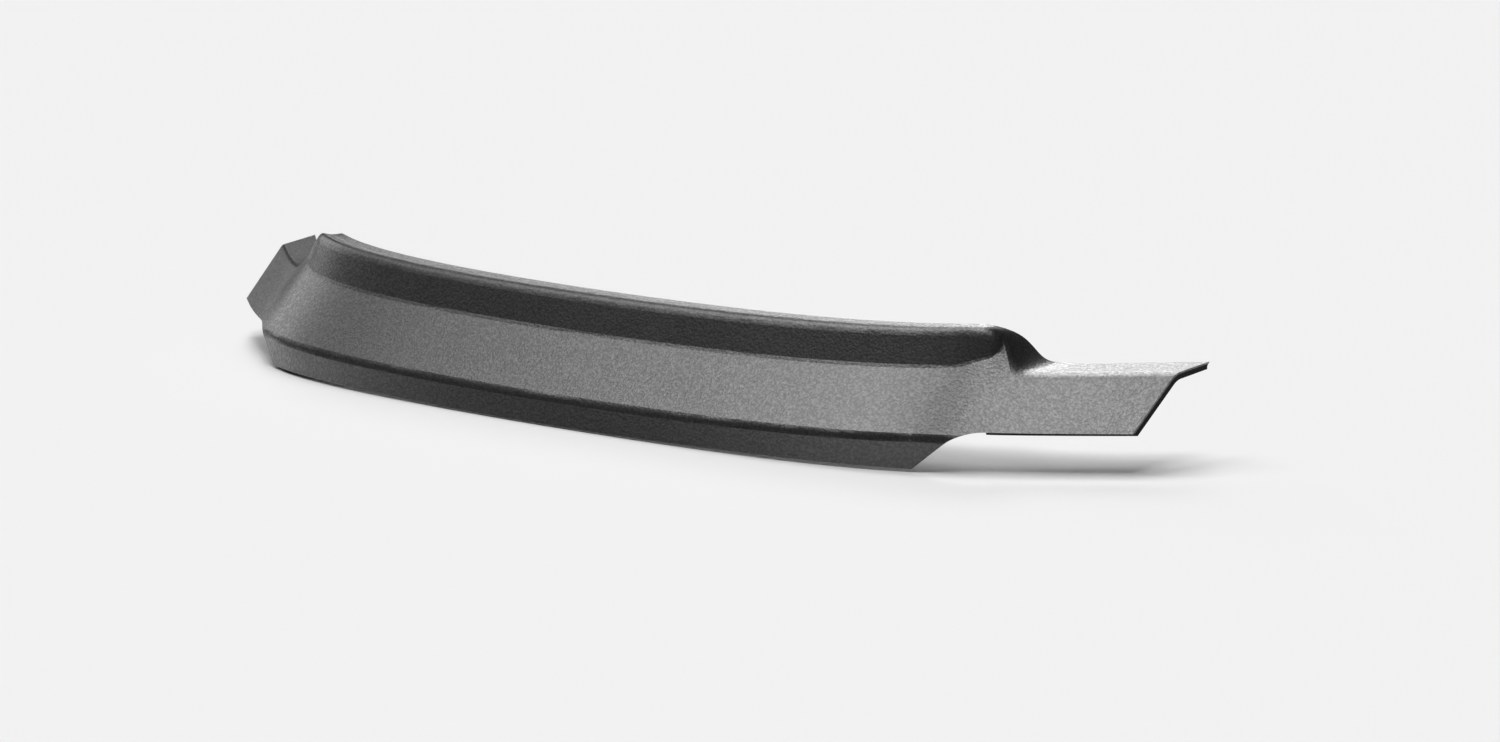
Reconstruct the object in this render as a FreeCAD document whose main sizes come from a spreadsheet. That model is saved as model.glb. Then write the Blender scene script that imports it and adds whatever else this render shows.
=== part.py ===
import FreeCAD, Part
import Sketcher
import math
import os

# Hood bug deflector: one moulded shield that wraps the front edge of a panel,
# held by strips of foam tape on its inner face.
# Millimetres. X runs along the part, Y to the back, Z up. Both halves are alike.
# Heights and depths below are measured from the crease in the middle.

SIZES = [
    ("wall", 3.0, "thickness of the moulded sheet"),
    ("band_before", 50.0, "end of the lower band before the end of the riser"),
    ("centre_bow", 36.0, "how far the plan runs back by band_half"),
    ("corner_rake", 0.70, "slope in plan that the ends come to"),
    ("corner_before", 44.0, "where the plan turns to that slope, before the end of the riser"),
    ("corner_soft", 80.0, "length over which it turns"),
    ("crease_lift", 7.7, "rise of the crease by band_half"),
    ("band_drop", 40.2, "height of the lower band in the middle"),
    ("band_sag", 5.4, "further height of the band at its ends"),
    ("band_setback", 8.0, "lean of the lower band in the middle"),
    ("face_angle", 46.3, "slope of the main face in the middle, degrees"),
    ("flange_rise", 133.7, "top flange above the crease in the middle"),
    ("flange_crown", 8.6, "rise of the flange by band_half, even part"),
    ("flange_flick", 4.5, "rise of the flange by band_half, late part"),
    ("wing_rise", 92.3, "bend of the wing's end above the crease"),
    ("wing_slope", 0.012, "slope at which the wing's bend rises to its end"),
    ("wing_angle", 42.7, "slope of the wing's face, degrees"),
    ("wing_flange_angle", 5.5, "slope of the wing's flange, degrees"),
    ("shoulder_before", 28.2, "start of the bend's fall before the end of the riser"),
    ("shoulder_run", 75.9, "length over which the bend falls to the wing"),
    ("shoulder_lead", 6.4, "how much sooner the rear edge falls"),
    ("shoulder_ease", 24.4, "how much longer the rear edge takes"),
    ("flange_middle", 23.3, "depth of the flange in the middle"),
    ("flange_wing", 73.0, "depth of the flange at the wing's end"),
    ("flange_taper", 0.069, "how fast the wing's flange narrows inwards"),
    ("flange_grow_before", 53.4, "where the flange starts to deepen, before the end of the riser"),
    ("flange_grow_run", 92.3, "length over which it comes to its full depth"),
    ("flange_angle", 8.4, "slope of the flange in the middle, degrees"),
    ("riser_drop", 49.3, "riser foot below the flange"),
    ("riser_half", 705.0, "half length of the riser"),
    ("riser_round", 50.0, "length of its rounded tip"),
    ("nose", 15.0, "blunt last stretch of the tip"),
    ("crest_forward", 17.0, "riser crest in front of the bend"),
    ("crest_rise", 7.0, "riser crest above the bend"),
    ("valley_back", 5.0, "valley behind the crest, from the bend"),
    ("tip_drop", 11.0, "tip of the riser below the bend, down the face"),
    ("tip_width", 5.0, "width of the riser at its tip, down the face"),
    ("bend_web", 20.0, "reach of the bend's round on the wing"),
    ("crease_soft", 7.0, "reach of the soft crease"),
    ("foot_soft", 3.0, "reach of the crisp riser foot"),
    ("crest_soft", 17.0, "reach of the crest's round down the riser"),
    ("valley_soft", 4.0, "reach of the valley's round"),
    ("wing_edge", 16.6, "lower edge of the wing above the crease"),
    ("notch_angle", 42.0, "slope of the notch between band and wing, degrees"),
    ("notch_round", 70.0, "radius at the top of the notch"),
    ("notch_depth", 38.5, "corner of the band below the crease"),
    ("notch_lead", 20.0, "how far the notch's slope starts before that corner"),
    ("wing_run", 157.3, "length of the wing's lower edge beyond the shoulder"),
    ("end_lean", 7.0, "outward lean of the end edge up to the bend"),
    ("end_flare", 29.0, "outward run of the end edge above the bend"),
    ("end_trim", 25.0, "what the blank has beyond the end edge at the bend"),
    ("tape_thick", 5.5, "thickness of the foam tape"),
    ("tape_gap", 0.3, "clearance of the tape to its seat"),
    ("tape_inset", 3.0, "tape to the edge of the shield, and to the next tape"),
    ("seal_thick", 8.0, "thickness of the foam that seals the wing's edge and end"),
    ("seal_inset", 0.5, "that foam to the rim"),
    ("seal_break", 0.8, "gap where two lengths of that foam meet"),
    ("flange_tape", 10.0, "width of the flange tape"),
    ("band_tape", 15.0, "width of the band tape"),
    ("wing_tape", 25.0, "width of the wing tape"),
    ("edge_tape", 12.0, "width of the tape above the wing's lower edge"),
    ("end_tape", 10.0, "width of the tape along the end edge"),
]

# Sizes that follow from the ones above
DERIVED = [
    ("band_half", "=riser_half - band_before", "half length of the lower band"),
    ("corner_from", "=riser_half - corner_before", "where the plan turns to the ends' slope"),
    ("shoulder_from", "=riser_half - shoulder_before", "where the bend starts to fall"),
    ("shoulder_to", "=shoulder_from + shoulder_run", "where it has reached the wing"),
    ("flange_grow_from", "=riser_half - flange_grow_before", "where the flange starts to deepen"),
    ("flange_grow_to", "=flange_grow_from + flange_grow_run", "where it has its full depth"),
    ("wing_half", "=shoulder_to + wing_run", "half length at the lower edge of the wing"),
    ("blank_half", "=wing_half + end_lean + end_trim", "half length of the untrimmed blank"),
]

doc = FreeCAD.newDocument("bug_deflector")
sheet = doc.addObject("Spreadsheet::Sheet", "sizes")
for row, (name, value, note) in enumerate(SIZES + DERIVED, start=1):
    sheet.set("A%d" % row, name)
    sheet.set("B%d" % row, str(value))
    sheet.set("C%d" % row, note)
    sheet.setAlias("B%d" % row, name)
doc.recompute()


size = {name: float(sheet.get(name)) for name, value, note in SIZES + DERIVED}


# Shape functions

def mix(start, end, share):
    return start + (end - start) * share


def ease(start, end, x):
    """A step from 0 to 1 with no jump in slope or curvature."""
    share = min(1.0, max(0.0, (x - start) / (end - start)))
    return share ** 3 * (10.0 - 15.0 * share + 6.0 * share ** 2)


def turn(u):
    """A run that is flat before zero and has slope one after it, with a round turn."""
    return math.log1p(math.exp(u))


def plan_bow(x):
    """How far the shield runs back in plan: a shallow bow, then the raked ends."""
    soft = size["corner_soft"]
    corner = turn((x - size["corner_from"]) / soft) - turn(-size["corner_from"] / soft)
    bow = size["centre_bow"] * (x / size["band_half"]) ** 2
    return bow + size["corner_rake"] * soft * corner


def riser_share(x):
    """One along the riser, falling to zero round its tip."""
    start = size["riser_half"] - size["riser_round"]
    share = min(1.0, max(0.0, (x - start) / size["riser_round"]))
    return math.sqrt(1.0 - share * share)


def along(start, end, reach):
    """The point a given reach from start towards end."""
    share = reach / math.dist(start, end)
    return (mix(start[0], end[0], share), mix(start[1], end[1], share))


def corners(x):
    """Corners of the outer section at x: band, crease, foot, crest, valley, rear."""
    x = abs(x)
    run = x / size["band_half"]
    inner_run = min(run, 1.0)
    crease = (plan_bow(x), size["crease_lift"] * inner_run ** 2)
    lean = size["band_setback"] * (1.0 - inner_run ** 2)
    height = size["band_drop"] + size["band_sag"] * min(run, 1.3) ** 4
    band = (crease[0] - lean, crease[1] - height)

    middle = size["flange_rise"] + size["flange_crown"] * run ** 2
    middle += size["flange_flick"] * run ** 4
    fall = ease(size["shoulder_from"], size["shoulder_to"], x)
    face = math.radians(mix(size["face_angle"], size["wing_angle"], fall))
    from_end = size["wing_half"] - x
    wing_z = size["wing_rise"] - size["wing_slope"] * from_end
    bend_z = mix(middle, wing_z, fall)
    bend = (crease[0] + (bend_z - crease[1]) / math.tan(face), bend_z)

    depth_share = ease(size["flange_grow_from"], size["flange_grow_to"], x)
    wing_depth = size["flange_wing"] - size["flange_taper"] * from_end
    depth = mix(size["flange_middle"], wing_depth, depth_share)
    rear_from = size["shoulder_from"] - size["shoulder_lead"] - size["shoulder_ease"]
    rear_to = size["shoulder_to"] - size["shoulder_lead"] + size["shoulder_ease"]
    rear_fall = ease(rear_from, rear_to, x)
    flange = math.radians(mix(size["flange_angle"], size["wing_flange_angle"], rear_fall))
    rear_z = mix(middle, wing_z, rear_fall) + depth * math.tan(flange)
    rear = (bend[0] + depth, rear_z)

    # Where there is no riser, foot and crest lie on the face below the valley, which is the bend
    riser = riser_share(x)
    clear = size["bend_web"] * ease(size["riser_half"], size["shoulder_to"], x)
    tip_drop = size["tip_drop"] + clear
    tip_foot = tip_drop + size["tip_width"]
    down = mix(tip_foot, size["riser_drop"] / math.sin(face), riser)
    foot = (bend[0] - down * math.cos(face), bend[1] - down * math.sin(face))
    forward = mix(tip_drop * math.cos(face), size["crest_forward"], riser)
    rise = mix(-tip_drop * math.sin(face), size["crest_rise"], riser)
    crest = (bend[0] - forward, bend[1] + rise)
    valley = along(bend, rear, size["valley_back"] * riser)
    return [band, crease, foot, crest, valley, rear]


def section(x):
    """Poles of the outer section at x: its two edges, and three to each round."""
    band, crease, foot, crest, valley, rear = corners(x)
    front = math.dist(foot, crest)
    back = math.dist(crest, valley)
    crease_reach = size["crease_soft"]
    foot_reach = min(size["foot_soft"], 0.25 * front)
    crest_reach = min(size["crest_soft"], 0.60 * front)
    crest_back = min(0.5 * size["crest_soft"], 0.50 * back, 0.60 * front)
    valley_reach = min(mix(size["bend_web"], size["valley_soft"], riser_share(x)), 0.45 * back)
    rounds = [
        (band, crease_reach, crease, crease_reach, foot),
        (crease, foot_reach, foot, foot_reach, crest),
        (foot, crest_reach, crest, crest_back, valley),
        (crest, valley_reach, valley, valley_reach, rear),
    ]
    points = [band]
    for before, reach_before, corner, reach_after, after in rounds:
        points.append(along(corner, before, reach_before))
        points.append(corner)
        points.append(along(corner, after, reach_after))
    points.append(rear)
    return [FreeCAD.Vector(x, y, z) for y, z in points]


def spread(start, stop, count):
    """Even values from start up to but not including stop."""
    return [mix(start, stop, step / count) for step in range(count)]


def knot_stations():
    """Stations along X: wide apart in the middle, close where the riser ends."""
    tip = size["riser_half"] - size["riser_round"]
    half = spread(0.0, tip - 80.0, 7)
    half += spread(tip - 80.0, tip, 4)
    half += spread(tip, size["riser_half"] - size["nose"], 6)
    half += spread(size["riser_half"] - size["nose"], size["riser_half"], 5)
    half += spread(size["riser_half"], size["shoulder_to"], 6)
    half += spread(size["shoulder_to"], size["blank_half"], 5)
    half.append(size["blank_half"])
    return [-x for x in reversed(half[1:])] + half


def pole_stations(knots):
    """Where the poles stand, so that the surface's own parameter is X."""
    full = [knots[0]] * 3 + knots + [knots[-1]] * 3
    return [sum(full[i + 1:i + 4]) / 3.0 for i in range(len(full) - 4)]


KNOTS = knot_stations()
STATIONS = pole_stations(KNOTS)
SECTIONS = [section(x) for x in STATIONS]
POINTS = len(SECTIONS[0])
HALF_STEP = 2.0

# Strips of a skin, from the lower edge up: flats of two poles and rounds of three by turns
FLATS = [(first, first + 1) for first in range(0, POINTS, 3)]
ROUNDS = [(first, first + 2) for first in range(1, POINTS - 2, 3)]
STRIPS = sorted(FLATS + ROUNDS)
BAND, CREASE, FACE, FOOT, RISER, CREST, BACK, VALLEY, FLANGE = range(len(STRIPS))


def run_direction(index, x):
    """Direction along the part at one control point of the section at x."""
    ahead = section(x + HALF_STEP)[index]
    behind = section(x - HALF_STEP)[index]
    return ahead - behind


def inward(row, index):
    """Step from a control point to the parallel skin one millimetre inside."""
    points = SECTIONS[row]
    run = run_direction(index, STATIONS[row])
    normals = []
    if index > 0:
        normals.append(run.cross(points[index] - points[index - 1]).normalize())
    if index < POINTS - 1:
        normals.append(run.cross(points[index + 1] - points[index]).normalize())
    if len(normals) == 1:
        return normals[0] * -1.0
    first, second = normals
    return (first + second) * (-1.0 / (1.0 + first.dot(second)))


INWARD = [[inward(row, index) for index in range(POINTS)] for row in range(len(STATIONS))]


def skin(depth):
    """The smooth strips of the surface a given depth inside the outer one."""
    along_mults = [4] + [1] * (len(KNOTS) - 2) + [4]
    strips = []
    for first, last in STRIPS:
        poles = []
        for points, steps in zip(SECTIONS, INWARD):
            poles.append([points[i] + steps[i] * depth for i in range(first, last + 1)])
        degree = last - first
        surface = Part.BSplineSurface()
        surface.buildFromPolesMultsKnots(
            poles, along_mults, [degree + 1] * 2, KNOTS, [0.0, 1.0], False, False, 3, degree)
        strips.append(surface)
    return strips


def pairs(values):
    return list(zip(values, values[1:]))


def closed_solid(faces):
    """The solid inside faces that meet edge to edge."""
    shell = Part.makeShell(faces)
    shell.sewShape()
    solid = Part.makeSolid(shell)
    if solid.Volume < 0.0:
        solid.reverse()
    return solid


def solid_between(outer, inner, x_breaks, start=0.0, stop=1.0):
    """A closed solid between two skins, each a list of strips, with faces split at breaks.

    It begins at the share start of the first strip and ends at the share stop of the last one.
    """
    shares = [[0.0, 1.0] for strip in outer]
    shares[0][0] = start
    shares[-1][1] = stop
    faces = []
    for side in (outer, inner):
        for strip, (share_from, share_to) in zip(side, shares):
            for x_from, x_to in pairs(x_breaks):
                patch = strip.copy()
                patch.segment(x_from, x_to, share_from, share_to)
                faces.append(patch.toShape())
    for x_from, x_to in pairs(x_breaks):
        for number, share in ((0, start), (-1, stop)):
            near, far = [side[number].vIso(share).toShape(x_from, x_to) for side in (outer, inner)]
            faces.append(Part.makeRuledSurface(near, far))
    for x in (x_breaks[0], x_breaks[-1]):
        for sides, (share_from, share_to) in zip(zip(outer, inner), shares):
            near, far = [strip.uIso(x).toShape(share_from, share_to) for strip in sides]
            faces.append(Part.makeRuledSurface(near, far))
    return closed_solid(faces)


def origin_plane(body, role):
    """One of the body's own origin planes, by its role."""
    return [item for item in body.Origin.OriginFeatures if item.Role == role][0]


def measure(sketch, kind, places, expression):
    """Add a measured constraint and tie it to the sheet."""
    number = sketch.addConstraint(Sketcher.Constraint(kind, *places, 1.0))
    sketch.setExpression("Constraints[%d]" % number, expression)


# The shield: its blank is the smooth sheet, trimmed by a pocket at each end

RISER_TIP = size["riser_half"] - size["riser_round"]
HALF_BREAKS = [RISER_TIP / 2.0, RISER_TIP, size["riser_half"], size["shoulder_to"], size["blank_half"]]
X_BREAKS = [-x for x in reversed(HALF_BREAKS)] + [0.0] + HALF_BREAKS
OUTER = skin(0.0)
INNER = skin(size["wall"])
TAPE_NEAR = skin(size["wall"] + size["tape_gap"])
TAPE_FAR = skin(size["wall"] + size["tape_gap"] + size["tape_thick"])
SEAL_FAR = skin(size["wall"] + size["tape_gap"] + size["seal_thick"])


def share_of(strip, x, length):
    """Share of the inner skin's strip at x that a length from its lower side takes."""
    return length / INNER[strip].uIso(x).length()


# The part's origin is the middle of the flange tape's free face, where it is stuck on

flange_from_rear = size["tape_inset"] + size["flange_tape"]
FLANGE_SHARES = (
    1.0 - share_of(FLANGE, 0.0, flange_from_rear),
    1.0 - share_of(FLANGE, 0.0, size["tape_inset"]))
HOME = FreeCAD.Placement()
HOME.Base = TAPE_FAR[FLANGE].value(0.0, sum(FLANGE_SHARES) / 2.0) * -1.0

blank = doc.addObject("Part::Feature", "shield_blank")
blank.Shape = solid_between(OUTER, INNER, X_BREAKS)
blank.Placement = FreeCAD.Placement()

shield = doc.addObject("PartDesign::Body", "shield")
shield.Label = "shield"
shield.BaseFeature = blank
doc.recompute()


def end_edge(inset):
    """Corners of the end edge seen from the front, moved in along X by an inset."""
    bend_x = size["wing_half"] + size["end_lean"]
    return [
        (size["wing_half"] - inset, size["wing_edge"]),
        (bend_x - inset, size["wing_rise"]),
        (bend_x + size["end_flare"] - inset, 2.0 * size["wing_rise"]),
    ]


def notch_end():
    """Where the round at the top of the notch runs out into the wing's lower edge."""
    angle = math.radians(size["notch_angle"])
    rise = size["wing_edge"] + size["notch_depth"]
    return size["band_half"] + rise / math.tan(angle) + size["notch_round"] * math.tan(angle / 2.0)


def end_outline(body):
    """Sketch of what is cut off one end, seen from the front.

    It runs up the notch from the corner of the lower band, along the lower edge
    of the wing and up the end edge, then closes round outside the blank.
    """
    sketch = body.newObject("Sketcher::SketchObject", "end_outline")
    sketch.AttachmentSupport = [(origin_plane(body, "XZ_Plane"), "")]
    sketch.MapMode = "FlatFace"
    angle = math.radians(size["notch_angle"])
    flat_x = notch_end()
    slope_x = flat_x - size["notch_round"] * math.sin(angle)
    slope_z = size["wing_edge"] - size["notch_round"] * (1.0 - math.cos(angle))
    start_x = size["band_half"] - size["notch_lead"]
    start_z = -size["notch_depth"] - size["notch_lead"] * math.tan(angle)
    below = -3.0 * size["notch_depth"]
    outside = 1.2 * size["blank_half"]
    edge = end_edge(0.0)
    above = edge[-1][1]
    path = [
        (start_x, below),
        (start_x, start_z),
        (slope_x, slope_z),
        (flat_x, size["wing_edge"]),
        *edge,
        (outside, above),
        (outside, below),
    ]
    points = [FreeCAD.Vector(x, z, 0) for x, z in path]
    up, slant, notch, low, end, flare, top, side, base = range(len(points))
    for number, start in enumerate(points):
        if number == notch:
            centre = FreeCAD.Vector(flat_x, size["wing_edge"] - size["notch_round"], 0)
            circle = Part.Circle(centre, FreeCAD.Vector(0, 0, 1), size["notch_round"])
            sketch.addGeometry(Part.ArcOfCircle(circle, math.pi / 2, math.pi / 2 + angle))
        else:
            stop = points[(number + 1) % len(points)]
            sketch.addGeometry(Part.LineSegment(start, stop))
    for first, second in ((up, slant), (low, end), (end, flare), (flare, top),
                          (top, side), (side, base), (base, up)):
        sketch.addConstraint(Sketcher.Constraint("Coincident", first, 2, second, 1))
    sketch.addConstraint(Sketcher.Constraint("Tangent", slant, 2, notch, 2))
    sketch.addConstraint(Sketcher.Constraint("Tangent", notch, 1, low, 1))
    for line in (up, side):
        sketch.addConstraint(Sketcher.Constraint("Vertical", line))
    for line in (low, top, base):
        sketch.addConstraint(Sketcher.Constraint("Horizontal", line))
    measure(sketch, "DistanceX", (-1, 1, slant, 1), "sizes.band_half - sizes.notch_lead")
    measure(sketch, "DistanceY", (slant, 1, -1, 1),
            "sizes.notch_depth + sizes.notch_lead * tan(sizes.notch_angle * 1 deg)")
    measure(sketch, "DistanceY", (up, 1, -1, 1), "3 * sizes.notch_depth")
    measure(sketch, "Angle", (slant,), "sizes.notch_angle * 1 deg")
    measure(sketch, "Radius", (notch,), "sizes.notch_round")
    measure(sketch, "DistanceY", (-1, 1, low, 1), "sizes.wing_edge")
    measure(sketch, "DistanceX", (-1, 1, low, 2), "sizes.wing_half")
    measure(sketch, "DistanceX", (end, 1, end, 2), "sizes.end_lean")
    measure(sketch, "DistanceY", (-1, 1, end, 2), "sizes.wing_rise")
    measure(sketch, "DistanceX", (flare, 1, flare, 2), "sizes.end_flare")
    measure(sketch, "DistanceY", (-1, 1, flare, 2), "2 * sizes.wing_rise")
    measure(sketch, "DistanceX", (-1, 1, side, 1), "1.2 * sizes.blank_half")
    return sketch


end_cut = shield.newObject("PartDesign::Pocket", "end_cut")
end_cut.Profile = end_outline(shield)
end_cut.Type = "ThroughAll"
end_cut.SideType = "Symmetric"
doc.recompute()

both_ends = shield.newObject("PartDesign::Mirrored", "both_ends")
both_ends.Originals = [end_cut]
both_ends.MirrorPlane = (origin_plane(shield, "YZ_Plane"), [""])
shield.Tip = both_ends
shield.Placement = HOME
doc.recompute()


# The tapes: strips of foam along the inner skin

NODES = ["shield"]


def add_tape(name, shape):
    """One strip of tape as a named node."""
    strip = doc.addObject("Part::Feature", name)
    strip.Label = name
    strip.Shape = shape
    strip.Placement = HOME
    NODES.append(name)


def curved_tape(strip, x_breaks, shares):
    """Tape that follows one strip of the skin on both of its sides."""
    return solid_between([TAPE_NEAR[strip]], [TAPE_FAR[strip]], x_breaks, *shares)


def flat_tape(strip, x_breaks, shares):
    """Tape that follows the skin where it is stuck and has a flat free face."""
    x_from, x_to = x_breaks
    near = TAPE_NEAR[strip].copy()
    near.segment(x_from, x_to, *shares)
    edges = [
        near.vIso(shares[0]).toShape(x_from, x_to),
        near.uIso(x_to).toShape(*shares),
        near.vIso(shares[1]).toShape(x_from, x_to),
        near.uIso(x_from).toShape(*shares),
    ]
    middle = (x_from + x_to) / 2.0, sum(shares) / 2.0
    plane = Part.Plane(TAPE_FAR[strip].value(*middle), TAPE_FAR[strip].normal(*middle))
    corners_far = []
    for x, share in ((x_from, shares[0]), (x_to, shares[0]), (x_to, shares[1]), (x_from, shares[1])):
        corners_far.append(plane.projectPoint(TAPE_FAR[strip].value(x, share)))
    far_wire = Part.makePolygon(corners_far + corners_far[:1])
    faces = [near.toShape(), Part.Face(far_wire)]
    for edge, far_edge in zip(edges, far_wire.Edges):
        faces.append(Part.makeRuledSurface(edge, far_edge))
    return closed_solid(faces)


END_SEAL_INSIDE = size["seal_inset"] + size["end_tape"]


def end_wall(outside, inside):
    """A wall through the wing between two lines along the end edge, at two insets from it."""
    ring = []
    for inset in (outside, inside):
        low, bend, top = end_edge(inset)
        below = [mix(bend[place], low[place], 2.0) for place in range(2)]
        ring.append([FreeCAD.Vector(x, 0, z) for x, z in (below, bend, top)])
    outline = ring[0] + ring[1][::-1]
    face = Part.Face(Part.makePolygon(outline + outline[:1]))
    return face.extrude(FreeCAD.Vector(0, size["blank_half"], 0))


def edge_seal(low_share, high_share):
    """Foam along the wing's lower edge, from the notch up to the end seal."""
    x_breaks = (notch_end(), size["wing_half"])
    stock = solid_between([TAPE_NEAR[FACE]], [SEAL_FAR[FACE]], x_breaks, low_share, high_share)
    wall = end_wall(END_SEAL_INSIDE + size["seal_break"], size["wing_half"])
    return stock.common(wall).Solids[0]


def end_seal(low_share):
    """Foam along the end edge, from the wing's lower edge over the bend to the rear edge."""
    x_breaks = (size["wing_half"] - 3.0 * size["end_tape"], size["blank_half"])
    stock = solid_between(TAPE_NEAR[FACE:], SEAL_FAR[FACE:], x_breaks, start=low_share)
    return stock.common(end_wall(size["seal_inset"], END_SEAL_INSIDE)).Solids[0]


def share_at_height(x, z):
    """Share of the inner main face at x that lies below the height z."""
    low, high = [INNER[FACE].value(x, share).z for share in (0.0, 1.0)]
    return (z - low) / (high - low)


def add_pair(name, shape):
    """A tape on the left wing and its mirror image on the right one."""
    add_tape("%s_left" % name, shape)
    add_tape("%s_right" % name, shape.mirror(FreeCAD.Vector(), FreeCAD.Vector(1, 0, 0)))


inset = size["tape_inset"]
wing_start = size["shoulder_to"] + inset
wing_end = size["wing_half"] - END_SEAL_INSIDE - inset
wing_middle = (wing_start + wing_end) / 2.0
band_tape_half = size["band_half"] - 3.0 * inset
flange_half = size["flange_grow_from"]
wing_from_rear = inset + size["wing_tape"]
low_z = size["wing_edge"] + size["seal_inset"]
high_z = low_z + size["edge_tape"] * math.sin(math.radians(size["wing_angle"]))
low_share = share_at_height(wing_middle, low_z)

add_tape("flange_tape", curved_tape(FLANGE, (-flange_half, 0.0, flange_half), FLANGE_SHARES))
add_tape("band_tape", curved_tape(BAND, (-band_tape_half, 0.0, band_tape_half), (
    share_of(BAND, 0.0, inset), share_of(BAND, 0.0, inset + size["band_tape"]))))
add_pair("wing_tape", flat_tape(FLANGE, (wing_start, wing_end), (
    1.0 - share_of(FLANGE, wing_middle, wing_from_rear),
    1.0 - share_of(FLANGE, wing_middle, inset))))
add_pair("edge_tape", edge_seal(low_share, share_at_height(wing_middle, high_z)))
add_pair("end_tape", end_seal(low_share))
doc.recompute()


# Checks and files

for item in doc.Objects:
    if "Invalid" in item.State or "Error" in item.State:
        raise RuntimeError("%s did not build: %s" % (item.Name, item.State))

os.makedirs("parts", exist_ok=True)
for name in NODES:
    shape = doc.getObjectsByLabel(name)[0].Shape
    if shape.isNull() or not shape.isValid() or len(shape.Solids) != 1:
        raise RuntimeError("%s is not one sound solid" % name)
    shape.exportStep("parts/%s.step" % name)
    print("%-20s %10.0f mm3  %4d faces" % (name, shape.Volume, len(shape.Faces)))
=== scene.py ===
import math

import bmesh
import bpy
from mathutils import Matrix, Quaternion, Vector


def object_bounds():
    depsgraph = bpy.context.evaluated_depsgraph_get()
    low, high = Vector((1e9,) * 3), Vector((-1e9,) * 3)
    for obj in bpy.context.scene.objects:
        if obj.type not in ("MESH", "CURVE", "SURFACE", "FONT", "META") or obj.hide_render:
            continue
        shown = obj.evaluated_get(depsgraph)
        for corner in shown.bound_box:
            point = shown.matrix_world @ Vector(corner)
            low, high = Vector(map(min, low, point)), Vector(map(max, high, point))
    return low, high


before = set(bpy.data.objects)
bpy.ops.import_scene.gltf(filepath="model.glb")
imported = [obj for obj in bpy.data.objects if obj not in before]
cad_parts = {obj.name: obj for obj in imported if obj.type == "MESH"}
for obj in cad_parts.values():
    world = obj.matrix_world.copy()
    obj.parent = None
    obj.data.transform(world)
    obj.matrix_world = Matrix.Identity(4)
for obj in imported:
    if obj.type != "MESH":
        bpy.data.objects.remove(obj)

# Looks of the moulded shield and its foam tapes. Metres, in the frame of the CAD model.

CAD_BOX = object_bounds()

# The camera stands where the photo was taken from, and its lens is given in the photo's pixels

CAMERA_PLACE = Vector((6.070, -6.3646, 1.4629))
CAMERA_AZIMUTH = math.radians(42.27)
CAMERA_ELEVATION = math.radians(10.15)
CAMERA_ROLL = math.radians(-0.40)
IMAGE_WIDTH_PIXELS = 1500.0
FOCAL_PIXELS = 5976.0
SENSOR_WIDTH = 36.0
NEAREST_SEEN = 0.1
FARTHEST_SEEN = 200.0

# The floor lies just under the part and is pale

FLOOR_HALF = 40.0
FLOOR_GAP = 0.002
FLOOR_COLOUR = (0.84, 0.84, 0.84, 1.0)

SKY_COLOUR = (1.0, 1.0, 1.0, 1.0)
SKY_STRENGTH = 0.01

# Grain of the shield: width of each kind of spot

PEBBLE_WIDTH = 0.0036
FINE_WIDTH = 0.0018
MOTTLE_WIDTH = 0.0055
CLOUD_WIDTH = 0.11

# Shares of those kinds in the relief and in the colour. The cloud's share of the colour is a random
# tone; the pebbles' share is painted shade, darker in the low ground between the pebbles

PEBBLE_RELIEF = 0.6
FINE_RELIEF = 0.4
RELIEF_DEPTH = 0.0011
RELIEF_STRENGTH = 0.35
PEBBLE_PAINTED_SHADE = 0.7
CLOUD_SHADE = 0.3

SHIELD_DARK = (0.008, 0.008, 0.009, 1.0)
SHIELD_LIGHT = (0.024, 0.024, 0.025, 1.0)

# Sheen of the shield, which rises and falls round a middle value with the pebbles and the mottle

SHEEN = 0.40
SHEEN_BY_PEBBLE = 1.5
SHEEN_BY_MOTTLE = 1.7
PEBBLE_MIDDLE = 0.6
MOTTLE_MIDDLE = 0.5
SHIELD_ROUGHNESS = 0.28
ROUGHNESS_BY_NOISE = 0.06

# The foam: width of its cells and of the cloudy change over it

CELL_WIDTH = 0.0011
FOAM_CLOUD_WIDTH = 0.02
CELL_SHADE = 0.6
FOAM_CLOUD_SHADE = 0.4
CELL_DEPTH = 0.0003
CELL_STRENGTH = 0.6
FOAM_ROUGHNESS = 0.80
ROUGHNESS_BY_CELL = 0.15

FOAM_DARK = (0.006, 0.006, 0.007, 1.0)
FOAM_LIGHT = (0.020, 0.020, 0.021, 1.0)

# Places of the Mix node's sockets for colours, because several of its sockets share a name

MIX_FACTOR = 0
MIX_LOW = 6
MIX_HIGH = 7
MIX_RESULT = 2


# Materials

class Value:
    """One output of a material's nodes, with the arithmetic of Math nodes."""

    def __init__(self, material, socket):
        self.material = material
        self.socket = socket

    def calculate(self, operation, first, second):
        return self.material.add("ShaderNodeMath", {"operation": operation}, {0: first, 1: second})

    def __add__(self, other):
        return self.calculate("ADD", self, other)

    def __radd__(self, other):
        return self.calculate("ADD", other, self)

    def __sub__(self, other):
        return self.calculate("SUBTRACT", self, other)

    def __rsub__(self, other):
        return self.calculate("SUBTRACT", other, self)

    def __mul__(self, other):
        return self.calculate("MULTIPLY", self, other)

    def __rmul__(self, other):
        return self.calculate("MULTIPLY", other, self)


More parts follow.
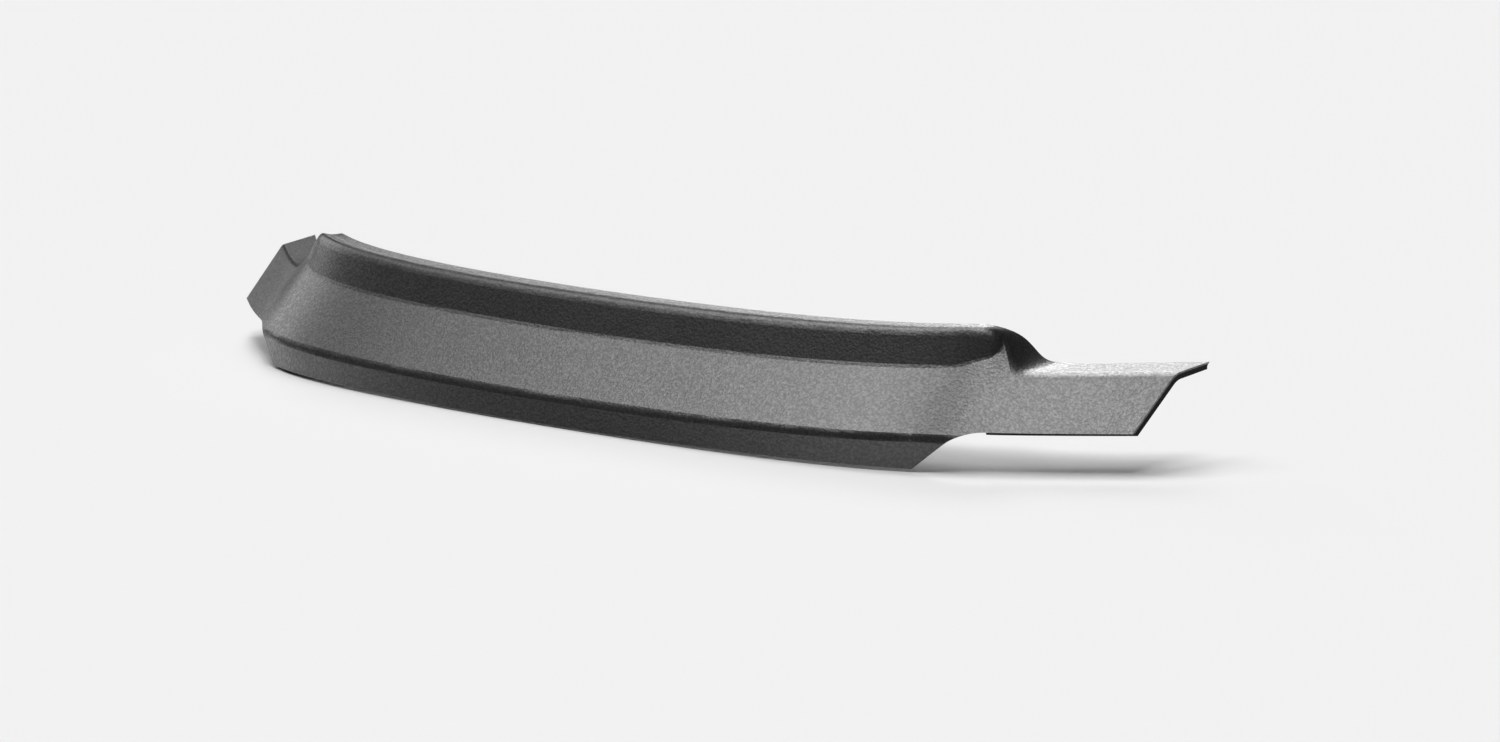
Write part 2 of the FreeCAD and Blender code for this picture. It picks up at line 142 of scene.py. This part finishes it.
class Material:
    """A material made of nodes round one Principled shader."""

    def __init__(self, name):
        self.data = bpy.data.materials.new(name)
        self.data.use_nodes = True
        self.tree = self.data.node_tree
        self.shader = self.tree.nodes["Principled BSDF"]
        self.place = self.add("ShaderNodeTexCoord", output="Object")

    def feed(self, socket, value):
        """Links a node's value to a socket, or sets the socket to a number or a colour."""
        if isinstance(value, Value):
            self.tree.links.new(value.socket, socket)
        else:
            socket.default_value = value

    def add(self, kind, settings=None, inputs=None, output=0):
        """One node: its type, its settings, then what goes into its sockets."""
        node = self.tree.nodes.new(kind)
        for name, value in (settings or {}).items():
            setattr(node, name, value)
        for name, value in (inputs or {}).items():
            self.feed(node.inputs[name], value)
        return Value(self, node.outputs[output])

    def noise(self, width, detail):
        """Cloudy noise from 0 to 1 with spots of a given width."""
        return self.add("ShaderNodeTexNoise", {}, {
            "Vector": self.place, "Scale": 1.0 / width, "Detail": detail})

    def pebbles(self, width, smoothness):
        """Distance to the nearest pebble's middle, for pebbles of a given width."""
        return self.add("ShaderNodeTexVoronoi", {"feature": "SMOOTH_F1"}, {
            "Vector": self.place, "Scale": 1.0 / width, "Smoothness": smoothness}, "Distance")

    def blend(self, share, low, high):
        """A colour between two others."""
        return self.add("ShaderNodeMix", {"data_type": "RGBA"}, {
            MIX_FACTOR: share, MIX_LOW: low, MIX_HIGH: high}, MIX_RESULT)

    def bump(self, height, depth, strength):
        return self.add("ShaderNodeBump", {}, {
            "Height": height, "Distance": depth, "Strength": strength}, "Normal")

    def finish(self, **sockets):
        """Feeds the shader's sockets, whose names have _ for a space, and gives the material."""
        for name, value in sockets.items():
            self.feed(self.shader.inputs[name.replace("_", " ")], value)
        return self.data


def textured_plastic():
    """Black moulded plastic with a pebbled grain, shinier on top of the pebbles, whose colour has a
    random cloudy tone and painted shade between the pebbles.
    """
    material = Material("textured_plastic")
    pebble = 1.0 - material.pebbles(PEBBLE_WIDTH, smoothness=0.6)
    fine = material.noise(FINE_WIDTH, detail=1.0)
    mottle = material.noise(MOTTLE_WIDTH, detail=1.0)
    cloud = material.noise(CLOUD_WIDTH, detail=3.0)
    relief = pebble * PEBBLE_RELIEF + fine * FINE_RELIEF
    # Colour: a random cloudy tone, plus painted shade that darkens the low ground between the pebbles
    shade = cloud * CLOUD_SHADE + pebble * PEBBLE_PAINTED_SHADE
    pebble_sheen = (pebble - PEBBLE_MIDDLE) * SHEEN_BY_PEBBLE
    mottle_sheen = (mottle - MOTTLE_MIDDLE) * SHEEN_BY_MOTTLE
    return material.finish(
        Base_Color=material.blend(shade, SHIELD_DARK, SHIELD_LIGHT),
        Roughness=SHIELD_ROUGHNESS + cloud * ROUGHNESS_BY_NOISE + fine * ROUGHNESS_BY_NOISE,
        Specular_IOR_Level=1.0,
        Coat_Weight=SHEEN + pebble_sheen + mottle_sheen,
        Coat_Roughness=0.33,
        Normal=material.bump(relief, RELIEF_DEPTH, RELIEF_STRENGTH))


def foam():
    """Nearly black closed-cell foam."""
    material = Material("foam")
    cells = material.pebbles(CELL_WIDTH, smoothness=0.3)
    cloud = material.noise(FOAM_CLOUD_WIDTH, detail=2.0)
    shade = cells * CELL_SHADE + cloud * FOAM_CLOUD_SHADE
    return material.finish(
        Base_Color=material.blend(shade, FOAM_DARK, FOAM_LIGHT),
        Roughness=FOAM_ROUGHNESS + cells * ROUGHNESS_BY_CELL,
        Specular_IOR_Level=0.25,
        Normal=material.bump(cells, CELL_DEPTH, CELL_STRENGTH))


def floor_paint():
    """Plain matt paint, as pale as a studio's floor."""
    material = Material("floor_paint")
    return material.finish(Base_Color=FLOOR_COLOUR, Roughness=0.9, Specular_IOR_Level=0.2)


# The shield and its foam

shield_finish = textured_plastic()
tape_finish = foam()
for name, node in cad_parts.items():
    for slot in node.material_slots:
        slot.material = shield_finish if name == "shield" else tape_finish


# The floor, the light and the camera

def add_floor(height):
    """A wide square at a given height, which isn't part of the object."""
    mesh = bmesh.new()
    bmesh.ops.create_grid(mesh, x_segments=1, y_segments=1, size=FLOOR_HALF)
    bmesh.ops.translate(mesh, vec=(0.0, 0.0, height), verts=mesh.verts)
    data = bpy.data.meshes.new("floor")
    mesh.to_mesh(data)
    mesh.free()
    data.materials.append(floor_paint())
    floor = bpy.data.objects.new("floor", data)
    bpy.context.scene.collection.objects.link(floor)


def add_sun(name, towards, strength, width):
    """A soft round light far away, in a given direction and as wide in the sky as width in degrees."""
    data = bpy.data.lights.new(name, "SUN")
    data.energy = strength
    data.angle = math.radians(width)
    lamp = bpy.data.objects.new(name, data)
    lamp.rotation_mode = "QUATERNION"
    lamp.rotation_quaternion = Vector(towards).to_track_quat("Z", "Y")
    bpy.context.scene.collection.objects.link(lamp)


def add_sky():
    """A faint even light from all sides."""
    world = bpy.data.worlds.new("studio")
    world.use_nodes = True
    sky = world.node_tree.nodes["Background"]
    sky.inputs["Color"].default_value = SKY_COLOUR
    sky.inputs["Strength"].default_value = SKY_STRENGTH
    bpy.context.scene.world = world


def add_camera():
    """The photo's camera, which looks back along the direction given by azimuth and elevation."""
    data = bpy.data.cameras.new("camera")
    data.sensor_width = SENSOR_WIDTH
    data.lens = FOCAL_PIXELS / IMAGE_WIDTH_PIXELS * SENSOR_WIDTH
    data.clip_start = NEAREST_SEEN
    data.clip_end = FARTHEST_SEEN
    back = Vector((
        math.sin(CAMERA_AZIMUTH) * math.cos(CAMERA_ELEVATION),
        -math.cos(CAMERA_AZIMUTH) * math.cos(CAMERA_ELEVATION),
        math.sin(CAMERA_ELEVATION)))
    camera = bpy.data.objects.new("camera", data)
    camera.rotation_mode = "QUATERNION"
    camera.rotation_quaternion = back.to_track_quat("Z", "Y") @ Quaternion((0, 0, 1), CAMERA_ROLL)
    camera.location = CAMERA_PLACE
    bpy.context.scene.collection.objects.link(camera)
    bpy.context.scene.camera = camera


add_floor(CAD_BOX[0].z - FLOOR_GAP)
add_sun("right_top", towards=(0.18, -0.27, 0.95), strength=0.71, width=20.0)
add_sun("top", towards=(-0.10, 0.04, 0.99), strength=0.42, width=24.0)
add_sun("front_top", towards=(-0.30, -0.36, 0.88), strength=0.62, width=24.0)
add_sun("left_top", towards=(-0.60, -0.27, 0.76), strength=0.34, width=20.0)
add_sun("left", towards=(-0.93, 0.15, 0.33), strength=0.26, width=26.0)
add_sun("rear_top", towards=(-0.36, 0.33, 0.87), strength=1.16, width=26.0)
add_sun("rear_left", towards=(-0.54, 0.64, 0.54), strength=0.54, width=16.0)
add_sky()
add_camera()
bpy.context.scene.view_settings.view_transform = "Standard"
